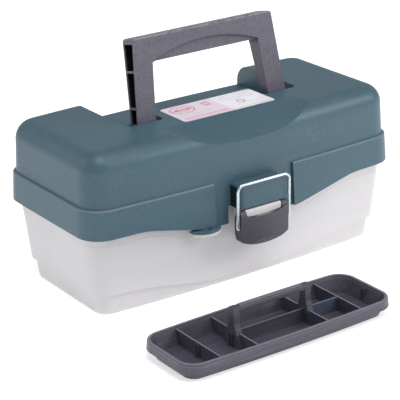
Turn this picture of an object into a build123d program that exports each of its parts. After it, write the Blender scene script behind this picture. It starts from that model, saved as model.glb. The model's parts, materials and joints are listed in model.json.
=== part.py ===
from build123d import *

import os
from math import cos, exp, radians, sin

# Fishing tackle box in millimetres: a tub, a hinged lid with a folding carry handle,
# a draw latch, and a lift-out tray that stands on the same floor in front of the box.
# Origin: centre of the tub's underside. +X along the box, -Y towards the latch, +Z up.

# ---- Driving dimensions -------------------------------------------------------------
LENGTH = 350.0            # over the lid's lower edge
DEPTH = 155.6             # over the lid's lower edge, at the ends of the long sides
BOW = 6.4                 # how far each long side swells at its middle
CORNER = 24.0             # plan radius of the lid's corners
HEIGHT = 158.0            # top of the lid
WALL = 2.5                # moulded wall
FIT = 0.4                 # air between pieces that move past each other
PAST = 10.0               # how far a cutter runs beyond what it cuts
RUNNING = 0.05            # radial clearance of a turning pin

# Tub
TUB_TOP = 90.0
TUB_FOOT_INSET = 17.0     # outline at the floor, in from the lid's lower edge
TUB_LOW_DRAFT = 0.10      # inset lost per mm of height below the wave
TUB_RIM_INSET = 5.3
TUB_HIGH_DRAFT = 0.0945
TUB_FOOT_ROUND = 5.0
WAVE_LOW = 7.8            # height of the wave line at the middle of the box
WAVE_RISE = 14.6
WAVE_SPREAD = 91.0
WAVE_FLATNESS = 3.0       # power that keeps the line level at the middle

# Lid
LID_REST = TUB_TOP + 0.3  # underside of the ledge that lies on the tub's rim
LID_PANEL_INSET = 2.1     # lid wall at LID_FOOT
LID_WALL = 3.0            # above the ledge
SKIRT_WALL = 1.6          # below the ledge, where the lid overlaps the tub
LID_TOP_INSET = 5.9
LID_FOOT = 60.0           # both lid forms start here and are trimmed to the lower edge
TOP_RADIUS = 18.0
RIDGE = 109.0             # upper edge of the proud band
BAND_FOOT_INSET = -0.9
BAND_RIDGE_INSET = 1.5
BAND_GAP_HALF = 45.0      # the band stops here on both sides of the latch
BAND_ROUND = 1.5
EDGE_HIGH = 81.5          # lid's lower edge away from the latch
EDGE_LOW = 66.5           # lid's lower edge beside the latch
EDGE_FALL = (118.0, 48.0) # the lower edge falls between these distances from the middle
EDGE_SWEEP = 80.0         # radius of its curves
NOTCH_HALF = 29.5
NOTCH_TOP = 83.5
SCOOP_BACK = -44.0        # where the sloping front face meets the top
SCOOP_FRONT = -80.0
SCOOP_DROP = 16.6
SCOOP_HALF = 79.0
SCOOP_FULLNESS = 2.6      # power of the smile's curve

# Handle pocket in the lid
POCKET_HALF = 97.0
POCKET_FRONT = -21.6
POCKET_FLOOR = 136.0
PLATEAU_HALF = 57.0
PLATEAU_BACK = 6.0
PLATEAU_TOE = 40.0
POCKET_CORNER = 6.0
SLOT_CORNER = 5.0         # where the plateau's sides meet the pocket's front wall
PLATEAU_ROUND = 12.0

# Carry handle
PIVOT_Y = -15.6
PIVOT_Z = 146.0
LEAN = 12.0               # degrees, backwards, standing on its front stop
REACH = 88.0              # pivot to top
FOOT_RADIUS = 5.6
GRIP_HALF_DEPTH = 9.0
HANDLE_TOP_HALF = 77.8
HANDLE_FOOT_HALF = 85.4   # at the pivot
LEG = 20.0
GRIP_DEEP = 24.0
SHEET = 1.5
HANDLE_PIN = 3.0
BOSS = 6.0                # radius and length of the lid's pin bosses
HANDLE_CORNER = 3.0
HANDLE_EDGE = 1.4
OPENING_CORNER = 6.0
RECESS_DEPTH = 4.0
RECESS_HALF = 60.0
RECESS_TOP = 11.5         # apex of the arch, below the handle's top
CORES = ((10.0, 23.5), (25.5, 57.0), (59.0, REACH - 5.0))
CORE_WEB = 3.5

# Latch
LEVER_Y = -93.6
LEVER_Z = 77.0
BAIL_Y = -95.4
BAIL_Z = 64.5
BAR_Y = -96.7
BAR_Z = 107.0
WIRE = 1.5
BAIL_HALF = 29.3
BAIL_CORNER = 6.0
BAIL_HOOK = 2.0
STUB_END = 22.0           # the bail's hooked ends reach in to here
BRACKET_HALF = 20.0
BRACKET_FRONT = -96.4
BRACKET_NOSE = 3.8        # above and below the lever's pin
BRACKET_ROOT = (-75.0, 62.0)
LEVER_HALF = 27.0
LEVER_FRONT = -100.3
LEVER_FACE = -101.0       # before the bulge trims it
LEVER_BACK = -87.2
LEVER_TIP = 45.0
LEVER_NOSE = 4.2
LEVER_LIP = 73.0          # lower edge of the lever's window, at its middle
LATCH_PIN = 1.5
CATCH_HALF = 25.7
CATCH_FRONT = -94.8
CATCH_ROOT = -79.6        # inside the lid's wall
CATCH_LOW = 82.5
CATCH_TOP = 105.0

# Padlock tabs
TAB_LEFT = (-69.5, -83.0)
TAB_RIGHT = (-42.0, -87.0)
TAB_FRONT = -91.0
TAB_MIDDLE = -54.0
TAB_SHEET = 2.6
TAB_ROOT_TUB = -74.0
TAB_ROOT_LID = -80.2
TAB_PARTING = 66.0
TAB_GAP = 0.3
PADLOCK_Y = -86.6
PADLOCK_HOLE = 2.2

# Rear hinge
HINGE_Y = 88.5
HINGE_Z = 80.0
HINGE_X = 95.0
KNUCKLE = 4.5
KNUCKLE_LID = 14.0
KNUCKLE_TUB = 10.0
TUB_WEB_ROOT = 74.0       # inside the tub's rear wall
TUB_WEB_LOW = 58.0
LID_WEB_ROOT = 78.5       # inside the lid's rear band
HINGE_PIN = 1.5

# Label
LABEL = (-47.5, 56.0, -42.0, 1.5)
LABEL_SHEET = 0.25

# Tray
TRAY_X = -57.0
TRAY_Y = -180.0
TRAY_LENGTH = 227.0
TRAY_DEPTH = 76.0
TRAY_BOW = 2.5
TRAY_CORNER = 19.0
TRAY_TOP = 17.0
TRAY_BAND = 8.0
TRAY_WALL = 1.6
TRAY_OUTER_BAY = 76.0
TRAY_INNER_BAY = 38.0
DIVIDER_TOP = 14.8
TRAY_GRIP_TOP = 38.0
TRAY_FOOT_INSET = 8.2
TRAY_RIM_WALL = 2.5
TRAY_SHEET = 1.5          # dividers
POST_X = 39.0
POST_SHEET = 6.0
RIB_TOP = DIVIDER_TOP - 0.8
# Guide ribs for loose dividers: where they start, and how far they reach along the tray.
RIBS = ((-120, 15.6), (-76, -2.6), (-76, 2.6), (-41, -3), (41, 3), (76, -2.6), (76, 2.6), (120, -15.6))
# Half width of a post at heights from its foot to the grip.
POST_SHAPE = ((13.0, 1.0), (8.5, 12.0), (4.4, 23.0), (3.6, TRAY_GRIP_TOP))
DIVIDER_SPAN = (42.5, 74.75)


# ---- Shared shapes ------------------------------------------------------------------
def bowed_outline(height, half_x, half_y, bow, corner):
    """Face with straight ends, long sides that are shallow arcs, and rounded corners."""
    with BuildSketch(Plane.XY.offset(height)) as face:
        with BuildLine():
            ThreePointArc((-half_x, -half_y), (0, -half_y - bow), (half_x, -half_y))
            Line((half_x, -half_y), (half_x, half_y))
            ThreePointArc((half_x, half_y), (0, half_y + bow), (-half_x, half_y))
            Line((-half_x, half_y), (-half_x, -half_y))
        make_face()
        fillet(face.vertices(), corner)
    return face.sketch


def box_outline(height, inset):
    """The box's outline at a height, moved in from the lid's lower edge."""
    return bowed_outline(height, LENGTH / 2 - inset, DEPTH / 2 - inset, BOW, CORNER - inset / 2)


def drafted(low, low_inset, high, high_inset):
    """Solid with straight drafted sides between two box outlines."""
    with BuildPart() as block:
        loft(sections=[box_outline(low, low_inset), box_outline(high, high_inset)], ruled=True)
    return block.part


def mirrored_x(half):
    """A solid together with its mirror image across the box's middle plane."""
    with BuildPart() as pair:
        add(half)
        mirror(half, about=Plane.YZ)
    return pair.part


def rod(x_from, x_to, y, z, radius):
    """Round bar along X."""
    with BuildPart() as bar:
        with BuildSketch(Plane.YZ.offset(x_from)):
            with Locations((y, z)):
                Circle(radius)
        extrude(amount=x_to - x_from)
    return bar.part


def block(x_range, y_range, z_range):
    """Plain rectangular block between three pairs of limits."""
    with BuildPart() as body:
        with BuildSketch(Plane.XY.offset(z_range[0])):
            with Locations(((x_range[0] + x_range[1]) / 2, (y_range[0] + y_range[1]) / 2)):
                Rectangle(x_range[1] - x_range[0], y_range[1] - y_range[0])
        extrude(amount=z_range[1] - z_range[0])
    return body.part


# ---- Tub ----------------------------------------------------------------------------
def wave_height(x):
    """The wave line is low at the middle and levels out towards the ends."""
    return WAVE_LOW + WAVE_RISE * (1 - exp(-(abs(x / WAVE_SPREAD) ** WAVE_FLATNESS)))


def below_wave(lift):
    """Everything under the wave line, raised by lift."""
    reach = LENGTH / 2 + 15
    stations = [reach * step / 7 for step in range(-7, 8)]
    with BuildPart() as under:
        with BuildSketch(Plane.XZ):
            with BuildLine():
                Spline([(x, wave_height(x) + lift) for x in stations])
                Polyline(
                    (reach, wave_height(reach) + lift),
                    (reach, -20),
                    (-reach, -20),
                    (-reach, wave_height(reach) + lift),
                )
            make_face()
        extrude(amount=DEPTH, both=True)
    return under.part


def tub_form(gap, top):
    """The tub's outer form for gap 0, or the hollow inside it for a gap of one wall."""
    low_top = 45.0
    high_foot = 6.0
    with BuildPart() as form:
        add(drafted(
            high_foot, TUB_RIM_INSET + (TUB_TOP - high_foot) * TUB_HIGH_DRAFT + gap,
            top, TUB_RIM_INSET + (TUB_TOP - top) * TUB_HIGH_DRAFT + gap,
        ))
        add(below_wave(gap), mode=Mode.SUBTRACT)
        add(drafted(
            gap, TUB_FOOT_INSET - gap * TUB_LOW_DRAFT + gap,
            low_top, TUB_FOOT_INSET - low_top * TUB_LOW_DRAFT + gap,
        ))
    return form.part


def lever_bracket():
    """Block on the tub's front that carries the lever's pin behind a flat face."""
    root_y, root_z = BRACKET_ROOT
    top = LEVER_Z + BRACKET_NOSE
    low = LEVER_Z - BRACKET_NOSE
    with BuildPart() as bracket:
        with BuildSketch(Plane.YZ.offset(-BRACKET_HALF)):
            with BuildLine():
                Polyline(
                    (root_y, top), (BRACKET_FRONT + 1.6, top), (BRACKET_FRONT, top - 1.6),
                    (BRACKET_FRONT, low), (root_y, root_z), close=True,
                )
            make_face()
        extrude(amount=2 * BRACKET_HALF)
    return bracket.part


def padlock_tab(low, root):
    """Flat ear with a curved front edge and the padlock's hole, from its root at Y forwards."""
    with BuildPart() as tab:
        with BuildSketch(Plane.XY.offset(low)):
            with BuildLine():
                ThreePointArc(TAB_LEFT, (TAB_MIDDLE, TAB_FRONT), TAB_RIGHT)
                Polyline(TAB_RIGHT, (TAB_RIGHT[0], root), (TAB_LEFT[0], root), TAB_LEFT)
            make_face()
            with Locations((TAB_MIDDLE, PADLOCK_Y)):
                Circle(PADLOCK_HOLE, mode=Mode.SUBTRACT)
        extrude(amount=TAB_SHEET)
    return tab.part


def tub_knuckle(x_from):
    """Knuckle of the tub with the web that joins it to the rear wall below the lid's edge."""
    back = HINGE_Y + KNUCKLE
    with BuildPart() as knuckle:
        with BuildSketch(Plane.YZ.offset(x_from)):
            with Locations((HINGE_Y, HINGE_Z)):
                Circle(KNUCKLE)
            with BuildLine():
                Polyline(
                    (TUB_WEB_ROOT, HINGE_Z - 2),
                    (HINGE_Y, HINGE_Z - 2),
                    (back, HINGE_Z),
                    (back, HINGE_Z - 4),
                    (TUB_WEB_ROOT, TUB_WEB_LOW),
                    close=True,
                )
            make_face()
        extrude(amount=KNUCKLE_TUB)
    return knuckle.part


tub_outer = tub_form(0, TUB_TOP)
tub_hollow = tub_form(WALL, TUB_TOP + PAST)
bracket = lever_bracket()
tub_tab = padlock_tab(TAB_PARTING - TAB_GAP / 2 - TAB_SHEET, TAB_ROOT_TUB)
half_span = KNUCKLE_LID / 2 + FIT
hinge_reach = half_span + KNUCKLE_TUB + PAST
lever_reach = LEVER_HALF + PAST
with BuildPart() as base_tub:
    add(tub_outer)
    foot = base_tub.faces().sort_by(Axis.Z)[0]
    fillet(foot.edges(), TUB_FOOT_ROUND)
    add(bracket)
    add(tub_tab)
    for centre in (-HINGE_X, HINGE_X):
        for start in (centre - half_span - KNUCKLE_TUB, centre + half_span):
            add(tub_knuckle(start))
    add(tub_hollow, mode=Mode.SUBTRACT)
    for centre in (-HINGE_X, HINGE_X):
        bore = rod(centre - hinge_reach, centre + hinge_reach, HINGE_Y, HINGE_Z, HINGE_PIN)
        add(bore, mode=Mode.SUBTRACT)
    add(rod(-lever_reach, lever_reach, LEVER_Y, LEVER_Z, LATCH_PIN), mode=Mode.SUBTRACT)


# ---- Lid ----------------------------------------------------------------------------
def scoop(lower):
    """Cutter whose underside slopes from a straight back edge to a smiling front edge."""
    above = HEIGHT + 4 * PAST

    def section(y):
        share = (SCOOP_BACK - y) / (SCOOP_BACK - SCOOP_FRONT)
        stations = [SCOOP_HALF * step / 6 for step in range(-6, 7)]
        drop = [SCOOP_DROP * (1 - abs(x / SCOOP_HALF) ** SCOOP_FULLNESS) for x in stations]
        heights = [HEIGHT - lower - share * fall for fall in drop]
        with BuildSketch(Plane((0, y, 0), x_dir=(1, 0, 0), z_dir=(0, -1, 0))) as face:
            with BuildLine():
                Spline(list(zip(stations, heights)))
                Polyline(
                    (stations[-1], heights[-1]),
                    (SCOOP_HALF, above),
                    (-SCOOP_HALF, above),
                    (stations[0], heights[0]),
                )
            make_face()
        return face.sketch

    with BuildPart() as cutter:
        loft(sections=[section(SCOOP_BACK + 6), section(SCOOP_FRONT - 14)], ruled=True)
    return cutter.part


def pocket(gap):
    """Cutter for the handle's pocket: open at the back, with the plateau left standing."""
    floor = POCKET_FLOOR - gap
    crest = HEIGHT + 0.02 - gap
    half = POCKET_HALF + gap
    front = POCKET_FRONT - gap
    beyond = DEPTH / 2 + 3 * PAST
    below = floor - PAST
    plateau = PLATEAU_HALF - gap
    with BuildPart() as cutter:
        with BuildSketch(Plane.XY.offset(floor)):
            with BuildLine():
                Polyline((-half, front), (half, front), (half, beyond), (-half, beyond), close=True)
            make_face()
            fillet(vertices().group_by(Axis.Y)[0], POCKET_CORNER + gap)
        extrude(amount=4 * PAST)
        with BuildSketch(Plane.YZ.offset(-plateau)) as side:
            with BuildLine():
                Polyline(
                    (front - PAST, below),
                    (front - PAST, crest),
                    (PLATEAU_BACK - gap / 2, crest),
                    (PLATEAU_TOE - gap / 2, floor),
                    (PLATEAU_TOE - gap / 2, below),
                    close=True,
                )
            make_face()
            fillet(side.vertices().filter_by(lambda v: abs(v.Y - PLATEAU_BACK) < 3), PLATEAU_ROUND)
        extrude(amount=2 * plateau, mode=Mode.SUBTRACT)
        upright = cutter.edges().filter_by(Axis.Z)
        slot_edges = upright.filter_by(
            lambda e: abs(e.center().Y - front) < 1 and abs(abs(e.center().X) - plateau) < 1
        )
        fillet(slot_edges, SLOT_CORNER - gap)
    return cutter.part


def lid_body(gap):
    """The lid's drafted body with its round top edge, scoop and pocket."""
    with BuildPart() as body:
        add(drafted(LID_FOOT, LID_PANEL_INSET + gap, HEIGHT - gap, LID_TOP_INSET + gap))
        fillet(body.faces().sort_by(Axis.Z)[-1].edges(), TOP_RADIUS - gap)
        add(scoop(gap * 1.1), mode=Mode.SUBTRACT)
        add(pocket(gap), mode=Mode.SUBTRACT)
    return body.part


def lid_band(gap, top):
    """Proud band round the lid, interrupted at the latch."""
    draft = (BAND_RIDGE_INSET - BAND_FOOT_INSET) / (RIDGE - LID_FOOT)
    inset_top = BAND_FOOT_INSET + draft * (top - LID_FOOT)
    half = BAND_GAP_HALF + gap
    with BuildPart() as band:
        add(drafted(LID_FOOT, BAND_FOOT_INSET + gap, top, inset_top + gap))
        if not gap:
            fillet(band.faces().sort_by(Axis.Z)[-1].edges(), BAND_ROUND)
        add(block((-half, half), (-DEPTH, -DEPTH / 4), (0, HEIGHT)), mode=Mode.SUBTRACT)
    return band.part


def below_lid_edge():
    """Everything under the lid's lower edge: high all round, low beside the latch."""
    reach = LENGTH
    floor = LID_FOOT - 2 * PAST
    outer, inner = EDGE_FALL
    with BuildPart() as under:
        with BuildSketch(Plane.XZ) as front:
            with BuildLine():
                Polyline(
                    (-reach, EDGE_HIGH), (-outer, EDGE_HIGH), (-inner, EDGE_LOW),
                    (-NOTCH_HALF, EDGE_LOW), (-NOTCH_HALF, NOTCH_TOP),
                    (NOTCH_HALF, NOTCH_TOP), (NOTCH_HALF, EDGE_LOW),
                    (inner, EDGE_LOW), (outer, EDGE_HIGH), (reach, EDGE_HIGH),
                    (reach, floor), (-reach, floor), close=True,
                )
            make_face()
            fillet(front.vertices().filter_by(lambda v: NOTCH_HALF < abs(v.X) < reach - 1), EDGE_SWEEP)
        extrude(amount=DEPTH)
        add(block((-reach, reach), (-0.1, DEPTH), (floor, EDGE_HIGH)))
    return under.part


def catch_block():
    """Block over the latch that the bail's bar lies against."""
    with BuildPart() as catch:
        add(block((-CATCH_HALF, CATCH_HALF), (CATCH_FRONT, CATCH_ROOT), (CATCH_LOW, CATCH_TOP)))
        front = catch.faces().sort_by(Axis.Y)[0]
        fillet(front.edges().filter_by(Axis.Z), 5)
        top = catch.faces().sort_by(Axis.Z)[-1]
        fillet(top.edges().filter_by(lambda e: e.center().Y < CATCH_ROOT), 3)
    return catch.part


def lid_knuckle(x_from):
    """Knuckle of the lid with the web that joins it to the rear band."""
    with BuildPart() as knuckle:
        with BuildSketch(Plane.YZ.offset(x_from)):
            with Locations((HINGE_Y, HINGE_Z)):
                Circle(KNUCKLE)
            with BuildLine():
                Polyline(
                    (HINGE_Y - KNUCKLE, HINGE_Z),
                    (HINGE_Y + KNUCKLE, HINGE_Z),
                    (HINGE_Y + 1, HINGE_Z + 10),
                    (LID_WEB_ROOT, HINGE_Z + 20),
                    (LID_WEB_ROOT, HINGE_Z + 5),
                    (HINGE_Y - KNUCKLE, HINGE_Z + 5),
                    close=True,
                )
            make_face()
        extrude(amount=KNUCKLE_LID)
    return knuckle.part


def handle_boss():
    """Two bosses in the lid's hollow that hold the ends of one handle pin."""
    with BuildPart() as boss:
        add(rod(PLATEAU_HALF - BOSS, PLATEAU_HALF - 0.5, PIVOT_Y, PIVOT_Z, BOSS))
        add(rod(POCKET_HALF + 0.5, POCKET_HALF + BOSS, PIVOT_Y, PIVOT_Z, BOSS))
    return boss.part


lid_outer = lid_body(0)
lid_hollow = lid_body(LID_WALL)
skirt_draft = (LID_TOP_INSET - LID_PANEL_INSET) / (HEIGHT - LID_FOOT)
skirt_inset = LID_PANEL_INSET + SKIRT_WALL
skirt_top = skirt_inset + skirt_draft * (LID_REST - LID_FOOT)
skirt_hollow = drafted(LID_FOOT, skirt_inset, LID_REST, skirt_top)
band_outer = lid_band(0, RIDGE)
band_hollow = lid_band(WALL, LID_REST)
lid_bosses = mirrored_x(handle_boss())
pin_from = PLATEAU_HALF - BOSS + 2
pin_to = POCKET_HALF + BOSS
lid_pin_bore = mirrored_x(rod(pin_from, pin_to + 1, PIVOT_Y, PIVOT_Z, HANDLE_PIN))
lid_tab = padlock_tab(TAB_PARTING + TAB_GAP / 2, TAB_ROOT_LID)
catch = catch_block()
with BuildPart() as lid:
    add(lid_outer)
    add(band_outer)
    add(lid_hollow, mode=Mode.SUBTRACT)
    add(skirt_hollow, mode=Mode.SUBTRACT)
    add(band_hollow, mode=Mode.SUBTRACT)
    add(below_lid_edge(), mode=Mode.SUBTRACT)
    add(lid_bosses)
    add(lid_pin_bore, mode=Mode.SUBTRACT)
    add(lid_tab)
    add(catch)
    for centre in (-HINGE_X, HINGE_X):
        add(lid_knuckle(centre - KNUCKLE_LID / 2))
        bore = rod(centre - KNUCKLE_LID, centre + KNUCKLE_LID, HINGE_Y, HINGE_Z, HINGE_PIN + RUNNING)
        add(bore, mode=Mode.SUBTRACT)

# ---- Label --------------------------------------------------------------------------
with BuildPart() as lid_label:
    with BuildSketch(Plane.XY.offset(HEIGHT)) as label_face:
        with Locations(((LABEL[0] + LABEL[1]) / 2, (LABEL[2] + LABEL[3]) / 2)):
            Rectangle(LABEL[1] - LABEL[0], LABEL[3] - LABEL[2])
        fillet(label_face.vertices(), 3)
    extrude(amount=LABEL_SHEET)

# ---- Carry handle -------------------------------------------------------------------
lean_sin = sin(radians(LEAN))
lean_cos = cos(radians(LEAN))
FACE_PLANE = Plane((0, PIVOT_Y, PIVOT_Z), x_dir=(1, 0, 0), z_dir=(0, -lean_cos, lean_sin))
SIDE_PLANE = Plane((0, PIVOT_Y, PIVOT_Z), x_dir=(0, lean_sin, lean_cos), z_dir=(1, 0, 0))
SPLAY = (HANDLE_FOOT_HALF - HANDLE_TOP_HALF) / REACH


def leg_outside(up):
    """Half width over the legs at a height above the pivot."""
    return HANDLE_FOOT_HALF - SPLAY * up


def handle_side(gap):
    """Handle as seen from its end: a round foot that widens to the grip, across all X."""
    with BuildPart() as side:
        with BuildSketch(SIDE_PLANE) as outline:
            with BuildLine():
                Polyline(
                    (0, -FOOT_RADIUS), (REACH, -GRIP_HALF_DEPTH),
                    (REACH, GRIP_HALF_DEPTH), (0, FOOT_RADIUS), close=True,
                )
            make_face()
            fillet(outline.vertices().group_by(Axis.Z)[-1], HANDLE_EDGE)
            Circle(FOOT_RADIUS)
            if gap:
                offset(amount=-gap)
        extrude(amount=LENGTH / 2, both=True)
    return side.part


def handle_front():
    """Handle as seen from the front: two splayed legs joined by the grip, through all Y."""
    foot = -FOOT_RADIUS - 1
    under = REACH - GRIP_DEEP
    with BuildPart() as front:
        with BuildSketch(FACE_PLANE) as outline:
            with BuildLine():
                Polyline(
                    (-leg_outside(foot), foot), (-leg_outside(REACH), REACH),
                    (leg_outside(REACH), REACH), (leg_outside(foot), foot), close=True,
                )
            make_face()
            fillet(outline.vertices().group_by(Axis.Z)[-1], HANDLE_CORNER)
            with BuildSketch(FACE_PLANE, mode=Mode.PRIVATE) as opening:
                with BuildLine():
                    Polyline(
                        (LEG - leg_outside(foot), foot), (LEG - leg_outside(under), under),
                        (leg_outside(under) - LEG, under), (leg_outside(foot) - LEG, foot), close=True,
                    )
                make_face()
                fillet(opening.vertices().group_by(Axis.Z)[-1], OPENING_CORNER)
            add(opening.sketch_local, mode=Mode.SUBTRACT)
        extrude(amount=3 * PAST, both=True)
    return front.part


def grip_recess(sign):
    """Shallow recess in one face of the grip, between its arched plate and its underside."""
    spring = REACH - GRIP_DEEP + 0.6
    low = spring - PAST
    with BuildPart() as recess:
        with BuildSketch(FACE_PLANE.offset(sign * (GRIP_HALF_DEPTH - RECESS_DEPTH))):
            with BuildLine():
                ThreePointArc((-RECESS_HALF, spring), (0, REACH - RECESS_TOP), (RECESS_HALF, spring))
                Polyline(
                    (RECESS_HALF, spring), (RECESS_HALF, low), (-RECESS_HALF, low), (-RECESS_HALF, spring),
                )
            make_face()
        extrude(amount=sign * 2 * PAST)
    return recess.part


def leg_cores():
    """Three cavities that core out one leg from its outer side, with ribs between them."""
    inner = SIDE_PLANE.offset(leg_outside(REACH / 2) - LEG + CORE_WEB)
    with BuildPart() as cores:
        with BuildSketch(inner):
            for low, high in CORES:
                with Locations(((low + high) / 2, 0)):
                    Rectangle(high - low, 4 * GRIP_HALF_DEPTH)
        extrude(amount=2 * LEG)
        add(handle_side(SHEET), mode=Mode.INTERSECT)
    return cores.part


handle_profile = handle_side(0)
handle_cores = mirrored_x(leg_cores())
with BuildPart() as carry_handle:
    add(handle_front())
    add(handle_profile, mode=Mode.INTERSECT)
    for face_sign in (-1, 1):
        add(grip_recess(face_sign), mode=Mode.SUBTRACT)
    add(handle_cores, mode=Mode.SUBTRACT)
    add(rod(-LENGTH / 2, LENGTH / 2, PIVOT_Y, PIVOT_Z, HANDLE_PIN + RUNNING), mode=Mode.SUBTRACT)

with BuildPart() as handle_pin_left:
    add(rod(-pin_to, -pin_from, PIVOT_Y, PIVOT_Z, HANDLE_PIN))
with BuildPart() as handle_pin_right:
    add(rod(pin_from, pin_to, PIVOT_Y, PIVOT_Z, HANDLE_PIN))

# ---- Rear hinge pins ----------------------------------------------------------------
pin_half = half_span + KNUCKLE_TUB - 0.5
with BuildPart() as hinge_pin_left:
    add(rod(-HINGE_X - pin_half, -HINGE_X + pin_half, HINGE_Y, HINGE_Z, HINGE_PIN))
with BuildPart() as hinge_pin_right:
    add(rod(HINGE_X - pin_half, HINGE_X + pin_half, HINGE_Y, HINGE_Z, HINGE_PIN))


# ---- Latch --------------------------------------------------------------------------
def lever_side():
    """Lever as seen from its end: thick at the pins, rounded over the pivot, thin at its tip."""
    front = LEVER_Y - LEVER_NOSE
    back = LEVER_Y + LEVER_NOSE
    with BuildPart() as side:
        with BuildSketch(Plane.YZ) as outline:
            with BuildLine():
                ThreePointArc((front, LEVER_Z), (LEVER_Y, LEVER_Z + LEVER_NOSE), (back, LEVER_Z))
                Polyline(
                    (back, LEVER_Z),
                    (LEVER_BACK, LEVER_Z - 4), (LEVER_BACK, LEVER_TIP + 13), (LEVER_BACK - 4.3, LEVER_TIP),
                    (LEVER_FACE + 2.5, LEVER_TIP), (LEVER_FACE, LEVER_TIP + 9),
                    (LEVER_FACE, LEVER_Z - 2),
                    (front, LEVER_Z),
                )
            make_face()
            tip = outline.vertices().filter_by(lambda v: v.Z < LEVER_TIP + 10 and v.Y < LEVER_FACE + 3)
            fillet(tip, 4)
        extrude(amount=lever_reach, both=True)
    return side.part


def lever_front():
    """Lever as seen from the front: straight sides and an arched lower edge."""
    shoulder = LEVER_TIP + 6.5
    above = LEVER_Z + PAST
    with BuildPart() as front:
        with BuildSketch(Plane.XZ) as outline:
            with BuildLine():
                ThreePointArc((-LEVER_HALF, shoulder), (0, LEVER_TIP + 0.8), (LEVER_HALF, shoulder))
                Polyline(
                    (LEVER_HALF, shoulder), (LEVER_HALF, above),
                    (-LEVER_HALF, above), (-LEVER_HALF, shoulder),
                )
            make_face()
            fillet(outline.vertices().group_by(Axis.Z)[0], 3)
        extrude(amount=DEPTH)
    return front.part


def lever_bulge():
    """Upright cylinder whose front makes the lever's face swell at the middle."""
    radius = 160.0
    with BuildPart() as swell:
        with BuildSketch(Plane.XY.offset(LEVER_TIP - PAST)):
            with Locations((0, LEVER_FRONT + radius)):
                Circle(radius)
        extrude(amount=LEVER_Z)
    return swell.part


def lever_window():
    """Cutter for the window over the bracket, with a lower lip that sags at its middle."""
    with BuildPart() as window:
        with BuildSketch(Plane.XZ):
            with BuildLine():
                ThreePointArc((-inner_half, LEVER_LIP + 2.4), (0, LEVER_LIP), (inner_half, LEVER_LIP + 2.4))
                Polyline(
                    (inner_half, LEVER_LIP + 2.4), (inner_half, LEVER_Z + PAST),
                    (-inner_half, LEVER_Z + PAST), (-inner_half, LEVER_LIP + 2.4),
                )
            make_face()
        extrude(amount=DEPTH)
    return window.part


inner_half = BRACKET_HALF + FIT
lever_hollow = block(
    (-inner_half, inner_half), (LEVER_FRONT + 2.6, LEVER_BACK + PAST), (LEVER_TIP + 5.5, LEVER_Z + PAST)
)
with BuildPart() as latch_lever:
    add(lever_front())
    add(lever_side(), mode=Mode.INTERSECT)
    add(lever_bulge(), mode=Mode.INTERSECT)
    add(lever_hollow, mode=Mode.SUBTRACT)
    add(lever_window(), mode=Mode.SUBTRACT)
    add(rod(-lever_reach, lever_reach, LEVER_Y, LEVER_Z, LATCH_PIN + RUNNING), mode=Mode.SUBTRACT)
    add(rod(-lever_reach, lever_reach, BAIL_Y, BAIL_Z, WIRE + RUNNING), mode=Mode.SUBTRACT)

with BuildPart() as latch_lever_pin:
    add(rod(-LEVER_HALF + 0.3, LEVER_HALF - 0.3, LEVER_Y, LEVER_Z, LATCH_PIN))

bail_rise = Vector(0, BAR_Y - BAIL_Y, BAR_Z - BAIL_Z)
BAIL_PLANE = Plane((0, BAIL_Y, BAIL_Z), x_dir=(1, 0, 0), z_dir=Vector(1, 0, 0).cross(bail_rise))
with BuildPart() as latch_bail:
    with BuildLine(BAIL_PLANE) as bail_path:
        FilletPolyline(
            (-STUB_END, 0), (-BAIL_HALF, 0),
            (-BAIL_HALF, bail_rise.length), (BAIL_HALF, bail_rise.length),
            (BAIL_HALF, 0), (STUB_END, 0),
            radius=[BAIL_HOOK, BAIL_CORNER, BAIL_CORNER, BAIL_HOOK],
        )
    with BuildSketch(Plane((-STUB_END, BAIL_Y, BAIL_Z), z_dir=(-1, 0, 0))):
        Circle(WIRE)
    sweep(path=bail_path.line)


# ---- Lift-out tray ------------------------------------------------------------------
def tray_outline(height, inset):
    """The tray's outline at a height, moved in from the lower edge of its rim band."""
    flat = bowed_outline(
        height, TRAY_LENGTH / 2 - inset, TRAY_DEPTH / 2 - inset, TRAY_BOW, TRAY_CORNER - inset
    )
    return Pos(TRAY_X, TRAY_Y, 0) * flat


def tray_solid(low, low_inset, high, high_inset):
    """Solid between two tray outlines."""
    with BuildPart() as solid:
        loft(sections=[tray_outline(low, low_inset), tray_outline(high, high_inset)], ruled=True)
    return solid.part


def tray_bar(x_from, x_to, y_from, y_to, low, high):
    """Block placed from the tray's centre."""
    return block(
        (TRAY_X + x_from, TRAY_X + x_to), (TRAY_Y + y_from, TRAY_Y + y_to), (low, high)
    )


def guide_pair(x, reach):
    """Two upright ribs, reach long, with a slot between them for a loose divider."""
    slot_half = 1.0
    rib = 1.1
    ends = sorted((x, x + reach))
    with BuildPart() as pair:
        add(tray_bar(ends[0], ends[1], slot_half, slot_half + rib, 1, RIB_TOP))
        add(tray_bar(ends[0], ends[1], -slot_half - rib, -slot_half, 1, RIB_TOP))
    return pair.part


def tray_leg(sign):
    """Post of the tray's handle, spreading towards its foot like the letter A."""
    with BuildPart() as post:
        with BuildSketch(Plane.YZ.offset(TRAY_X + sign * POST_X - POST_SHEET / 2)) as outline:
            with BuildLine():
                front = [(TRAY_Y - half, height) for half, height in POST_SHAPE]
                back = [(TRAY_Y + half, height) for half, height in reversed(POST_SHAPE)]
                Polyline(*front, *back, close=True)
            make_face()
            fillet(outline.vertices().filter_by(lambda v: 10 < v.Z < 25), 7)
        extrude(amount=POST_SHEET)
    return post.part


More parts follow.
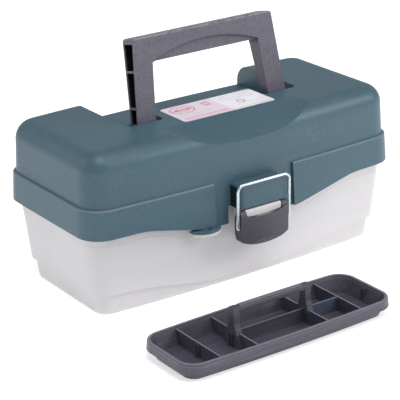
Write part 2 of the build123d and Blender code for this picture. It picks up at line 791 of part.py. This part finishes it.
def tray_grip():
    """Bar between the two posts with rounded long edges and a raised middle."""
    with BuildPart() as grip:
        half, top = POST_SHAPE[-1]
        end = POST_X + POST_SHEET / 2
        add(tray_bar(-end, end, -half, half, top - 5, top))
        fillet(grip.edges().filter_by(Axis.X), 1.2)
        add(tray_bar(8 - end, end - 8, 1.2 - half, half - 1.2, top - 1, top + 0.8))
    return grip.part


rim_inset = 0.9
tray_lower = tray_solid(0, TRAY_FOOT_INSET, TRAY_TOP - TRAY_BAND + 0.5, 4.6)
tray_band = tray_solid(TRAY_TOP - TRAY_BAND, 0, TRAY_TOP, rim_inset)
tray_hollow = tray_solid(TRAY_WALL, TRAY_FOOT_INSET + 1.2, TRAY_TOP + 1, rim_inset + TRAY_RIM_WALL)
with BuildPart() as tray_walls:
    for offset_x in (-TRAY_OUTER_BAY, -TRAY_INNER_BAY, TRAY_INNER_BAY, TRAY_OUTER_BAY):
        left = offset_x - TRAY_SHEET / 2
        add(tray_bar(left, left + TRAY_SHEET, -TRAY_DEPTH, TRAY_DEPTH, 1, DIVIDER_TOP))
    add(tray_bar(-TRAY_INNER_BAY, TRAY_INNER_BAY, -TRAY_SHEET / 2, TRAY_SHEET / 2, 1, DIVIDER_TOP))
    for rib_x, rib_reach in RIBS:
        add(guide_pair(rib_x, rib_reach))
    add(tray_hollow, mode=Mode.INTERSECT)
with BuildPart() as lift_out_tray:
    add(tray_lower)
    add(tray_band)
    fillet(lift_out_tray.faces().sort_by(Axis.Z)[-1].edges(), 0.8)
    add(tray_hollow, mode=Mode.SUBTRACT)
    add(tray_walls.part)
    for leg_sign in (-1, 1):
        add(tray_leg(leg_sign))
    add(tray_grip())

with BuildPart() as tray_divider:
    add(tray_bar(*DIVIDER_SPAN, -0.6, 0.6, 2.2, DIVIDER_TOP))

# ---- Write the pieces ---------------------------------------------------------------
PIECES = {
    "base_tub": base_tub,
    "hinge_pin_left": hinge_pin_left,
    "hinge_pin_right": hinge_pin_right,
    "lid": lid,
    "lid_label": lid_label,
    "carry_handle": carry_handle,
    "handle_pin_left": handle_pin_left,
    "handle_pin_right": handle_pin_right,
    "latch_lever_pin": latch_lever_pin,
    "latch_lever": latch_lever,
    "latch_bail": latch_bail,
    "lift_out_tray": lift_out_tray,
    "tray_divider": tray_divider,
}
os.makedirs("parts", exist_ok=True)
for node, piece in PIECES.items():
    piece.part.label = node
    export_step(piece.part, f"parts/{node}.step")
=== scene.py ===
import json
from math import cos, radians, sin

import bpy
import numpy as np
from mathutils import Matrix, Vector


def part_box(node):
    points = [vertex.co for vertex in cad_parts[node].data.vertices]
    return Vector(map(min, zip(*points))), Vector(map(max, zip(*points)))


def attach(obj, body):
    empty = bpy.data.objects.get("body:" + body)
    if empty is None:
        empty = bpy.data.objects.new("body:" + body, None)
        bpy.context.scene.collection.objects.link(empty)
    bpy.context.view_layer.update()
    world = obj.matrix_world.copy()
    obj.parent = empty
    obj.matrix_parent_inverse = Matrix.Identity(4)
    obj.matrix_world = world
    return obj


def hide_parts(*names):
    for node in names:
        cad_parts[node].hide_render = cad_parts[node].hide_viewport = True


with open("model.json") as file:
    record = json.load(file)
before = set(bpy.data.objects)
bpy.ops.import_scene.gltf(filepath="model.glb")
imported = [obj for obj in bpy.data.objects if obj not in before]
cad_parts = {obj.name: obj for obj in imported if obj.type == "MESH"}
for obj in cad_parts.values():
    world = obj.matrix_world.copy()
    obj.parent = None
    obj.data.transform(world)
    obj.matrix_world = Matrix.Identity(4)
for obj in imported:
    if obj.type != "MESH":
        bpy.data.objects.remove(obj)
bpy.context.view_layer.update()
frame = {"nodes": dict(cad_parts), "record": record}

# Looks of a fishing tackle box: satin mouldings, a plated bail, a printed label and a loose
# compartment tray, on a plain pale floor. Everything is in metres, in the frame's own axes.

# ---- Finish colours, linear ---------------------------------------------------------
LID_GREEN = (0.042, 0.104, 0.138)
LID_WORN_AND_HIGHLIGHT = (0.155, 0.200, 0.275)
TUB_WHITE = (0.610, 0.598, 0.612)
TUB_MILKY = (0.575, 0.563, 0.580)
TUB_GRIME_AND_SHADE = (0.440, 0.425, 0.420)
HANDLE_GREY = (0.092, 0.086, 0.118)
HANDLE_WORN = (0.230, 0.220, 0.265)
LEVER_GREY = (0.052, 0.050, 0.072)
LEVER_WORN = (0.180, 0.175, 0.210)
TRAY_GREY = (0.062, 0.061, 0.086)
TRAY_WORN_AND_HIGHLIGHT = (0.180, 0.180, 0.225)
DIVIDER_BLUE = (0.078, 0.092, 0.145)
DIVIDER_WORN_AND_HIGHLIGHT = (0.190, 0.205, 0.275)
LABEL_WHITE = (0.900, 0.890, 0.940)
LABEL_ROSE = (0.780, 0.660, 0.780)
LABEL_RED = (0.620, 0.110, 0.150)
LABEL_INK = (0.110, 0.110, 0.150)

# ---- Places on the box, metres ------------------------------------------------------
PIVOT_Y, PIVOT_Z = -0.0156, 0.146       # axis of the handle's pins
HANDLE_LEAN = radians(12.0)             # the raised handle leans back by this
LEG_HALF, LEG_GROWTH = 0.0046, 0.0385   # inner half thickness of a leg at the pins, and its growth
LEG_OUTSIDE, LEG_TAPER = 0.0854, 0.0864  # outer side of a leg at the pins, and its fall
SOCKET_RIM, SOCKET_DEPTH = 0.0012, 0.0185
SOCKET_LOW, SOCKET_HIGH = 0.008, 0.0856
GRIP_TOP = (0.0858, 0.0872)             # fade of the worn upper edge, above the pins
DIVIDER_TOP = (0.0146, 0.0149)
TRAY_RIM_TOP = (0.0168, 0.0171)
TRAY_GRIP_TOP = 0.0384
# upper edge of the lid's band, with a painted highlight fading in just below it
RIDGE = 0.1090                          # upper edge of the lid's band
RIDGE_FADE = (0.0017, 0.0009)           # below the edge
BAND_GAP_HALF = 0.0448                  # the band stops here beside the latch
CATCH_SIDE = (0.0255, 0.0262)           # the catch block's side faces lie between these
CATCH_SIDE_DEPTH = (-0.0906, -0.0800)
CATCH_SIDE_HEIGHT = (0.0826, 0.1030)
CATCH_EDGE = (0.1026, 0.1044)           # its rounded top edge
CATCH_EDGE_FRONT = -0.0900
# where the painted shadow strip lies on the tub's bracket, above the lever's lip
BRACKET_HALF, BRACKET_BACK = 0.0205, -0.0850
LIP, LIP_HALF, LIP_SAG = 0.0730, 0.0257, 0.0024  # lower edge of the lever's window
LIP_FADE = (0.0004, 0.0012)             # the dark line ends this far above the lip
# a thin line of painted shade on the tub, below the lid's edge
SHADE_LINE, SHADE_LINE_RISE = 0.0580, 0.0145        # faint line on the tub: middle height, and rise at the ends
SHADE_LINE_SPAN = (0.048, 0.118)
SHADE_LINE_FADE = (0.0003, 0.0011)
SHADE_LINE_GAP_HALF, SHADE_LINE_BACK = 0.034, -0.02
BAIL_FOOT, BAIL_BAR = (0, -0.0954, 0.0645), (0, -0.0967, 0.107)
BAIL_HALF, BAIL_STUB, BAIL_HOOK, BAIL_CORNER = 0.0293, 0.0220, 0.002, 0.006
WIRE_RADIUS = 0.0015
CAMERA_PLACE = (-0.83126, -1.21236, 0.63852)
CAMERA_LENS = 146.8


# ---- Shader maths written as expressions --------------------------------------------
class Value:
    """One number in a material, so that an expression on it adds its Math nodes."""

    def __init__(self, maker, socket):
        self.maker = maker
        self.socket = socket

    def math(self, operation, *others):
        return self.maker.node("ShaderNodeMath", {"operation": operation}, self, *others)

    def __add__(self, other):
        return self.math("ADD", other)

    def __mul__(self, other):
        return self.math("MULTIPLY", other)

    def __sub__(self, other):
        return self.math("SUBTRACT", other)

    def __rsub__(self, other):
        return self.maker.node("ShaderNodeMath", {"operation": "SUBTRACT"}, other, self)

    def __truediv__(self, other):
        return self.math("DIVIDE", other)

    def __pow__(self, other):
        return self.math("POWER", other)

    def __lt__(self, other):
        return self.math("LESS_THAN", other)

    def __gt__(self, other):
        return self.math("GREATER_THAN", other)

    def __abs__(self):
        return self.math("ABSOLUTE")

    __radd__ = __add__
    __rmul__ = __mul__

    def clamp(self):
        return self.maker.node("ShaderNodeClamp", {}, self)

    def smooth(self, low, high):
        """0 below low, 1 above high and a smooth rise between them."""
        settings = {"interpolation_type": "SMOOTHSTEP"}
        return self.maker.node("ShaderNodeMapRange", settings, self, low, high, 0.0, 1.0)


class Finish:
    """A material being made: node() adds any node, colour() mixes two colours by a mask."""

    def __init__(self, name):
        self.material = bpy.data.materials.new(name)
        self.material.use_nodes = True
        self.tree = self.material.node_tree
        self.shader = self.tree.nodes["Principled BSDF"]
        coordinates = self.tree.nodes.new("ShaderNodeTexCoord")
        self.place = coordinates.outputs["Object"]

    def node(self, kind, settings, *values, output=0, **named):
        made = self.tree.nodes.new(kind)
        for key, value in settings.items():
            setattr(made, key, value)
        sockets = list(zip(made.inputs, values))
        sockets += [(made.inputs[key], value) for key, value in named.items()]
        for socket, value in sockets:
            self.feed(socket, value)
        result = made.outputs[output]
        return Value(self, result) if result.type == "VALUE" else result

    def feed(self, socket, value):
        if isinstance(value, Value):
            value = value.socket
        if isinstance(value, bpy.types.NodeSocket):
            self.tree.links.new(value, socket)
        elif value is not None:
            socket.default_value = value

    def colour(self, mask, first, second):
        """first where the mask is 0 and second where it is 1."""
        made = self.tree.nodes.new("ShaderNodeMix")
        made.data_type = "RGBA"
        for socket, value in zip((made.inputs[0], made.inputs[6], made.inputs[7]), (mask, first, second)):
            if isinstance(value, tuple):
                value = (*value, 1.0)
            self.feed(socket, value)
        return made.outputs[2]

    def axes(self):
        """X, Y and Z of the place as three numbers."""
        split = self.tree.nodes.new("ShaderNodeSeparateXYZ")
        self.feed(split.inputs[0], self.place)
        return [Value(self, socket) for socket in split.outputs]

    def noise(self, scale, detail=2.0, roughness=0.5, stretch=(1, 1, 1), shift=(0, 0, 0)):
        """Soft noise from 0 to 1, with features about one over scale metres across."""
        place = self.node("ShaderNodeMapping", {}, self.place, shift, (0, 0, 0), stretch)
        return self.node(
            "ShaderNodeTexNoise", {}, Vector=place, Scale=scale, Detail=detail, Roughness=roughness
        )

    def bump(self, height, strength, distance):
        """Normal of a surface raised by height times distance, in metres."""
        return self.node("ShaderNodeBump", {}, Strength=strength, Distance=distance, Height=height)

    def done(self, **sockets):
        """Sets the shader's sockets and returns the material."""
        for key, value in sockets.items():
            socket = self.shader.inputs[key.replace("_", " ")]
            if isinstance(value, tuple) and socket.type == "RGBA":
                value = (*value, 1.0)
            self.feed(socket, value)
        return self.material


# ---- Materials ----------------------------------------------------------------------
def moulded(
    name, colour, worn_and_highlight, grain, roughness, scuffing, mottle=0.10, brushed=0.0, painted_shade_mask=None, pale=None
):
    """Satin moulded plastic: cloudy shade, mottled eroded grain, flow streaks and fine scuffs.
    brushed adds fine lines along X; the dark mask gives near-black painted shade, and the pale mask
    gives paler places: painted highlight on some parts, rubbed wear on others."""
    f = Finish(name)
    cloud = f.noise(9.0, 3.0, 0.55)
    streak = f.noise(26.0, 2.0, 0.6, stretch=(0.25, 1.0, 2.6), shift=(3.1, 1.7, 0.4))
    scuff = f.noise(60.0, 6.0, 0.72, stretch=(1.0, 1.6, 0.7)).smooth(0.60, 0.74)
    speck = f.noise(380.0, 4.0, 0.7).smooth(0.30, 0.74)
    lines = f.noise(620.0, 2.0, 0.7, stretch=(0.02, 1.0, 1.0))
    wear = (scuff * scuffing + speck * mottle + lines.smooth(0.50, 0.72) * brushed).clamp()
    darker = tuple(0.86 * c for c in colour)
    shade = f.colour((cloud * 0.6 + streak * 0.4).smooth(0.36, 0.64), darker, colour)
    shade = f.colour(wear, shade, worn_and_highlight)
    # paler places: rubbed wear, and painted highlight on edges, as the mask gives
    if pale:
        shade = f.colour(pale(f) * 0.8, shade, worn_and_highlight)
    # painted shade: near-black colour where the mask marks recesses and faces lying in shade
    if painted_shade_mask:
        shade = f.colour(painted_shade_mask(f), shade, tuple(0.06 * c for c in colour))
    fine = f.noise(grain, 2.0, 0.6)
    broad = f.noise(grain / 7.0, 2.0, 0.5)
    relief = fine * 0.60 + broad * 0.30 + lines * brushed - scuff * 0.20
    rough = roughness + (cloud - 0.5) * 0.10 + scuff * 0.08 + (fine - 0.5) * 0.06
    return f.done(Base_Color=shade, Roughness=rough, Normal=f.bump(relief, 0.40, 0.00025), IOR=1.50)


def between(value, low, high):
    """1 where the value lies between two limits."""
    return (value > low) * (value < high)


def handle_axes(f):
    """Place in the raised handle: sideways, up along its legs and across their thickness."""
    x, y, z = f.axes()
    rise, run = z - PIVOT_Z, y - PIVOT_Y
    up = rise * cos(HANDLE_LEAN) + run * sin(HANDLE_LEAN)
    across = run * cos(HANDLE_LEAN) - rise * sin(HANDLE_LEAN)
    return x, up, across


def leg_socket_painted_shade(f):
    """1 inside the open sockets of the handle's legs, which are coloured darker as painted shade."""
    x, up, across = handle_axes(f)
    outside = LEG_OUTSIDE - up * LEG_TAPER
    deep = (abs(x) < outside - SOCKET_RIM) * (abs(x) > outside - SOCKET_DEPTH)
    return (abs(across) < LEG_HALF + up * LEG_GROWTH) * deep * between(up, SOCKET_LOW, SOCKET_HIGH)


def catch_side_painted_shade(f):
    """1 on the catch block's two side faces. They are closed faces, coloured nearly black as painted
    shade.
    """
    x, y, z = f.axes()
    return between(abs(x), *CATCH_SIDE) * between(y, *CATCH_SIDE_DEPTH) * between(z, *CATCH_SIDE_HEIGHT)


def ridge_painted_highlight(f):
    """Painted highlight along the band's upper edge and the top edge of the catch block."""
    x, y, z = f.axes()
    band_highlight = z.smooth(RIDGE - RIDGE_FADE[0], RIDGE - RIDGE_FADE[1]) * (z < RIDGE + 0.0001)
    band_highlight = band_highlight * (1 - (abs(x) < BAND_GAP_HALF) * (y < 0))
    catch_highlight = (abs(x) < CATCH_SIDE[1]) * (y < CATCH_EDGE_FRONT) * between(z, *CATCH_EDGE)
    return (band_highlight * 0.75 + catch_highlight * 0.55).clamp()


def tray_tops_painted_highlight(f):
    """1 on the tops of the tray's dividers, rim and grip, which carry a painted highlight."""
    z = f.axes()[2]
    return (between(z, *DIVIDER_TOP) + between(z, *TRAY_RIM_TOP) + (z > TRAY_GRIP_TOP)).clamp()


def grip_edges(f):
    """1 along the handle's upper edges, where hands rub it, broken up by the grain."""
    up = handle_axes(f)[1]
    return up.smooth(*GRIP_TOP) * f.noise(160.0, 3.0, 0.6).smooth(0.35, 0.60)


def tub_finish():
    """Off-white polypropylene: faintly milky, with a grain, a slight grey cast low down and fine dust;
    a thin line of painted shade below the lid, and a painted shadow strip above the lever's lip.
    """
    f = Finish("tub_plastic")
    x, y, z = f.axes()
    cloud = f.noise(7.0, 3.0, 0.5)
    flow = f.noise(18.0, 2.0, 0.6, stretch=(0.3, 1.0, 2.2))
    dust = f.noise(420.0, 2.0, 0.6).smooth(0.70, 0.80)
    low = 1 - z.smooth(0.0, 0.030)
    # painted shade: a thin darker line below the lid's edge, standing in for shading under the rim; the
    # bump also presses it in as a faint groove
    rim_shade_line = abs(z - (SHADE_LINE + abs(x).smooth(*SHADE_LINE_SPAN) * SHADE_LINE_RISE))
    rim_shade_line = (1 - rim_shade_line.smooth(*SHADE_LINE_FADE)) * (y < SHADE_LINE_BACK) * (abs(x) > SHADE_LINE_GAP_HALF)
    grime = (low * f.noise(45.0, 5.0, 0.7).smooth(0.45, 0.75) * 0.22 + dust * 0.10).clamp()
    shade = f.colour((cloud * 0.55 + flow * 0.45).smooth(0.36, 0.66), TUB_MILKY, TUB_WHITE)
    # grime and the painted shade line both mix towards the greyer colour
    shade = f.colour((grime + rim_shade_line * 0.35).clamp(), shade, TUB_GRIME_AND_SHADE)
    # painted shadow: a dark strip on the bracket just above the lever's lip, where the gap behind the
    # lever's plate lies in shade
    lip = LIP + (x / LIP_HALF) ** 2.0 * LIP_SAG
    gap_shadow = (y < BRACKET_BACK) * (abs(x) < BRACKET_HALF) * (1 - (z - lip).smooth(*LIP_FADE)) * 0.9
    shade = f.colour(gap_shadow, shade, LEVER_GREY)
    fine = f.noise(2100.0, 2.0, 0.6)
    rough = 0.40 + (cloud - 0.5) * 0.10 + (fine - 0.5) * 0.06 + grime * 0.3
    return f.done(
        Base_Color=shade, Roughness=rough, IOR=1.48,
        Normal=f.bump(fine * 0.7 + flow * 0.3 - rim_shade_line, 0.26, 0.00020),
    )


def steel_finish(name, colour, roughness, grain_stretch):
    """Drawn or plated steel with fine lengthwise scratches and a few dull spots."""
    f = Finish(name)
    scratch = f.noise(900.0, 3.0, 0.6, stretch=grain_stretch)
    spot = f.noise(160.0, 4.0, 0.7).smooth(0.62, 0.78)
    shade = f.colour(spot * 0.35, colour, tuple(0.6 * c for c in colour))
    rough = roughness + (scratch - 0.5) * 0.10 + spot * 0.16
    return f.done(Base_Color=shade, Metallic=1.0, Roughness=rough, Normal=f.bump(scratch, 0.12, 0.00008))


def label_finish():
    """Printed film: a framed pale field with an oval badge, a tinted band and rows of plain dashes."""
    f = Finish("label_film")
    low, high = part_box("lid_label")
    x, y, _ = f.axes()
    u = (x - low.x) / (high.x - low.x)
    v = (y - low.y) / (high.y - low.y)

    def field(u_range, v_range):
        return between(u, *u_range) * between(v, *v_range)

    def ring(u_at, v_at, u_size, v_size, thick):
        """Outline of an ellipse, thick as a share of its size."""
        span = (((u - u_at) / u_size) ** 2.0 + ((v - v_at) / v_size) ** 2.0) ** 0.5
        return abs(span - 1.0 + thick) < thick

    def dashes(columns, rows, u_range, v_range, fill):
        """Rows of short broken strokes, like a block of small print seen from afar."""
        column = (u * columns).math("FRACT") < 0.80
        row = (v * rows).math("FRACT") < fill
        broken = f.noise(170.0, 1.0, 0.5, stretch=(1.0, 2.2, 1.0)) > 0.46
        return column * row * broken * field(u_range, v_range)

    rose = 1 - u.smooth(0.52, 0.56)
    badge = ring(0.165, 0.70, 0.130, 0.235, 0.07) + field((0.06, 0.27), (0.66, 0.74))
    badge = badge + ring(0.165, 0.70, 0.070, 0.130, 0.12)
    bars = field((0.04, 0.98), (0.055, 0.085)) + field((0.04, 0.52), (0.13, 0.19))
    block = field((0.395, 0.475), (0.62, 0.86)) * (1 - field((0.410, 0.460), (0.71, 0.77)))
    red = badge * 0.70 + bars * 0.45 + block * 0.60
    red = red + dashes(40.0, 13.0, (0.04, 0.40), (0.25, 0.44), 0.45) * 0.30
    ink = ring(0.735, 0.42, 0.042, 0.105, 0.16) * 0.75
    ink = ink + dashes(52.0, 15.0, (0.58, 0.94), (0.58, 0.92), 0.50) * 0.30
    ink = ink + dashes(46.0, 12.0, (0.57, 0.90), (0.20, 0.30), 0.50) * 0.22
    ink = ink + dashes(44.0, 14.0, (0.05, 0.36), (0.48, 0.60), 0.40) * 0.12
    cloud = f.noise(30.0, 4.0, 0.6).smooth(0.35, 0.75)
    shade = f.colour((rose * 0.75 + cloud * 0.15).clamp(), LABEL_WHITE, LABEL_ROSE)
    shade = f.colour(red.clamp(), shade, LABEL_RED)
    shade = f.colour(ink.clamp(), shade, LABEL_INK)
    rough = 0.28 + cloud * 0.12
    return f.done(
        Base_Color=shade, Roughness=rough, Coat_Weight=0.25,
        Normal=f.bump(f.noise(120.0, 2.0, 0.5), 0.10, 0.0003),
    )


def floor_finish():
    """Plain white floor, faintly glowing so that the shadows on it stay light."""
    f = Finish("floor_pale")
    cloud = f.noise(3.0, 2.0, 0.5)
    shade = f.colour(cloud, (0.90, 0.90, 0.91), (0.92, 0.92, 0.92))
    return f.done(
        Base_Color=shade, Roughness=0.75 + cloud * 0.1, Specular_IOR_Level=0.2,
        Emission_Color=(1.0, 1.0, 1.0), Emission_Strength=0.50,
    )


FINISHES = {
    "tub_plastic": tub_finish(),
    "lid_plastic": moulded(
        "lid_plastic", LID_GREEN, LID_WORN_AND_HIGHLIGHT, 1700.0, 0.42, 0.22, mottle=0.14,
        painted_shade_mask=catch_side_painted_shade, pale=ridge_painted_highlight,
    ),
    "handle_plastic": moulded(
        "handle_plastic", HANDLE_GREY, HANDLE_WORN, 1300.0, 0.46, 0.35, mottle=0.30,
        painted_shade_mask=leg_socket_painted_shade, pale=grip_edges,
    ),
    "lever_plastic": moulded("lever_plastic", LEVER_GREY, LEVER_WORN, 1600.0, 0.46, 0.15, mottle=0.10),
    "tray_plastic": moulded(
        "tray_plastic", TRAY_GREY, TRAY_WORN_AND_HIGHLIGHT, 1500.0, 0.40, 0.20, brushed=0.32, pale=tray_tops_painted_highlight
    ),
    "divider_plastic": moulded(
        "divider_plastic", DIVIDER_BLUE, DIVIDER_WORN_AND_HIGHLIGHT, 1500.0, 0.40, 0.20, brushed=0.2, pale=tray_tops_painted_highlight
    ),
    "label_film": label_finish(),
    "pin_steel": steel_finish("pin_steel", (0.56, 0.57, 0.59), 0.30, (0.1, 1.0, 1.0)),
    "bail_chrome": steel_finish("bail_chrome", (0.56, 0.64, 0.69), 0.26, (0.4, 0.4, 0.4)),
}


# ---- Pieces -------------------------------------------------------------------------
SLOTS = {part["node"]: part["material_slot"] for part in frame["record"]["subparts"]}


def put_on(obj, finish):
    """Gives an object one finish in one material slot."""
    obj.data.materials.clear()
    obj.data.materials.append(finish)


def filleted(corners, radii, steps=9):
    """Path through 2-D corners, each inner one replaced by an arc of its radius."""
    corners = np.array(corners)
    path = [corners[:1]]
    for at, radius in zip(range(1, len(corners) - 1), radii):
        back = corners[at - 1] - corners[at]
        ahead = corners[at + 1] - corners[at]
        back, ahead = back / np.linalg.norm(back), ahead / np.linalg.norm(ahead)
        half = np.arccos(back @ ahead) / 2
        middle = (back + ahead) / np.linalg.norm(back + ahead)
        centre = corners[at] + middle * radius / np.sin(half)
        side = (ahead - middle * (ahead @ middle)) / np.sin(half)
        turn = np.linspace(half - np.pi / 2, np.pi / 2 - half, steps)[:, None]
        path.append(centre + radius * (np.sin(turn) * side - np.cos(turn) * middle))
    path.append(corners[-1:])
    return np.concatenate(path)


def wire(name, path, origin, across, rise, radius, sides=20):
    """Round wire along a flat path: ring points are path + radius times (cos t times the plane's
    normal plus sin t times the path's sideways direction), with a low dome on each end."""
    across, rise = np.array(across), np.array(rise)
    normal = np.cross(across, rise)
    points = np.array(origin) + path[:, :1] * across + path[:, 1:] * rise
    along = np.gradient(points, axis=0)
    along /= np.linalg.norm(along, axis=1)[:, None]
    dome = np.array([0.0, 0.35, 0.6, 0.8, 0.93])
    lift = 0.35 * radius * (1 - dome / 0.93)
    head = points[0] + along[0] * lift[:, None]
    tail = points[-1] - along[-1] * lift[::-1, None]
    points = np.concatenate((head, points[1:-1], tail))
    along = np.concatenate((np.repeat(along[:1], 5, 0), along[1:-1], np.repeat(along[-1:], 5, 0)))
    cap = np.maximum(dome, 0.02)
    size = radius * np.concatenate((cap, np.ones(len(path) - 2), cap[::-1]))
    sideways = np.cross(along, normal)
    angle = np.arange(sides) * 2 * np.pi / sides
    ring = np.cos(angle)[None, :, None] * normal + np.sin(angle)[None, :, None] * sideways[:, None, :]
    verts = (points[:, None, :] + size[:, None, None] * ring).reshape(-1, 3)
    rows = np.arange(len(points) - 1)[:, None] * sides
    here = np.arange(sides)[None, :]
    after = (here + 1) % sides
    quads = np.stack((rows + here, rows + sides + here, rows + sides + after, rows + after), -1)
    caps = [list(range(sides)), [len(verts) - 1 - k for k in range(sides)]]
    mesh = bpy.data.meshes.new(name)
    mesh.from_pydata(verts.tolist(), [], quads.reshape(-1, 4).tolist() + caps)
    mesh.shade_smooth()
    piece = bpy.data.objects.new(name, mesh)
    bpy.context.scene.collection.objects.link(piece)
    return piece


def bail_wire():
    """The bail: up from its two hooked ends in the lever to the bar over the catch."""
    foot, bar = np.array(BAIL_FOOT), np.array(BAIL_BAR)
    height = np.linalg.norm(bar - foot)
    corners = [
        (-BAIL_STUB, 0), (-BAIL_HALF, 0), (-BAIL_HALF, height),
        (BAIL_HALF, height), (BAIL_HALF, 0), (BAIL_STUB, 0),
    ]
    path = filleted(corners, (BAIL_HOOK, BAIL_CORNER, BAIL_CORNER, BAIL_HOOK))
    piece = wire("bail_wire", path, foot, (1, 0, 0), (bar - foot) / height, WIRE_RADIUS)
    put_on(piece, FINISHES["bail_chrome"])
    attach(piece, "bail")
    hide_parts("latch_bail")


for node, obj in frame["nodes"].items():
    put_on(obj, FINISHES[SLOTS[node]])
bail_wire()


# ---- Floor, light and camera --------------------------------------------------------
def make_floor():
    """Wide level floor under the box and the tray."""
    half = 6.0
    mesh = bpy.data.meshes.new("floor")
    corners = [(-half, -half, 0), (half, -half, 0), (half, half, 0), (-half, half, 0)]
    mesh.from_pydata(corners, [], [(0, 1, 2, 3)])
    floor = bpy.data.objects.new("floor", mesh)
    floor.location.z = -0.0002
    bpy.context.scene.collection.objects.link(floor)
    put_on(floor, floor_finish())


def make_lamp(name, place, aim, size, watts, colour):
    """Square soft light at a place, turned to its aim."""
    data = bpy.data.lights.new(name, "AREA")
    data.energy = watts
    data.size = size
    data.color = colour
    lamp = bpy.data.objects.new(name, data)
    lamp.location = place
    lamp.rotation_mode = "QUATERNION"
    lamp.rotation_quaternion = (Vector(aim) - Vector(place)).to_track_quat("-Z", "Y")
    bpy.context.scene.collection.objects.link(lamp)


def make_camera():
    """Long lens above the front left corner, looking down at the box, with a slight roll."""
    yaw, pitch, roll = radians(34.27), radians(21.58), radians(-1.63)
    forward = Vector((sin(yaw) * cos(pitch), cos(yaw) * cos(pitch), -sin(pitch)))
    level = Vector((cos(yaw), -sin(yaw), 0))
    up = level.cross(forward)
    right = level * cos(roll) + up * sin(roll)
    up = up * cos(roll) - level * sin(roll)
    data = bpy.data.cameras.new("camera")
    data.sensor_width = 36.0
    data.lens = CAMERA_LENS
    data.clip_start, data.clip_end = 0.05, 50.0
    camera = bpy.data.objects.new("camera", data)
    turn = Matrix((right, up, -forward)).transposed().to_4x4()
    camera.matrix_world = Matrix.Translation(CAMERA_PLACE) @ turn
    bpy.context.scene.collection.objects.link(camera)
    bpy.context.scene.camera = camera


def make_world():
    """Even white surroundings."""
    world = bpy.data.worlds.new("studio")
    world.use_nodes = True
    background = world.node_tree.nodes["Background"]
    background.inputs["Color"].default_value = (1.0, 1.0, 1.0, 1.0)
    background.inputs["Strength"].default_value = 0.44
    bpy.context.scene.world = world


make_floor()
make_world()
make_lamp("key", (1.25, -1.35, 1.10), (0, 0, 0.08), 0.80, 14.0, (1.0, 0.985, 0.97))
make_lamp("fill", (-1.7, 1.2, 1.3), (0, 0, 0.10), 1.4, 8.0, (0.95, 0.97, 1.0))
make_lamp("top", (-0.1, -0.9, 2.5), (0, 0, 0.1), 1.6, 33.0, (1.0, 1.0, 1.0))
make_camera()
bpy.context.scene.view_settings.view_transform = "Standard"
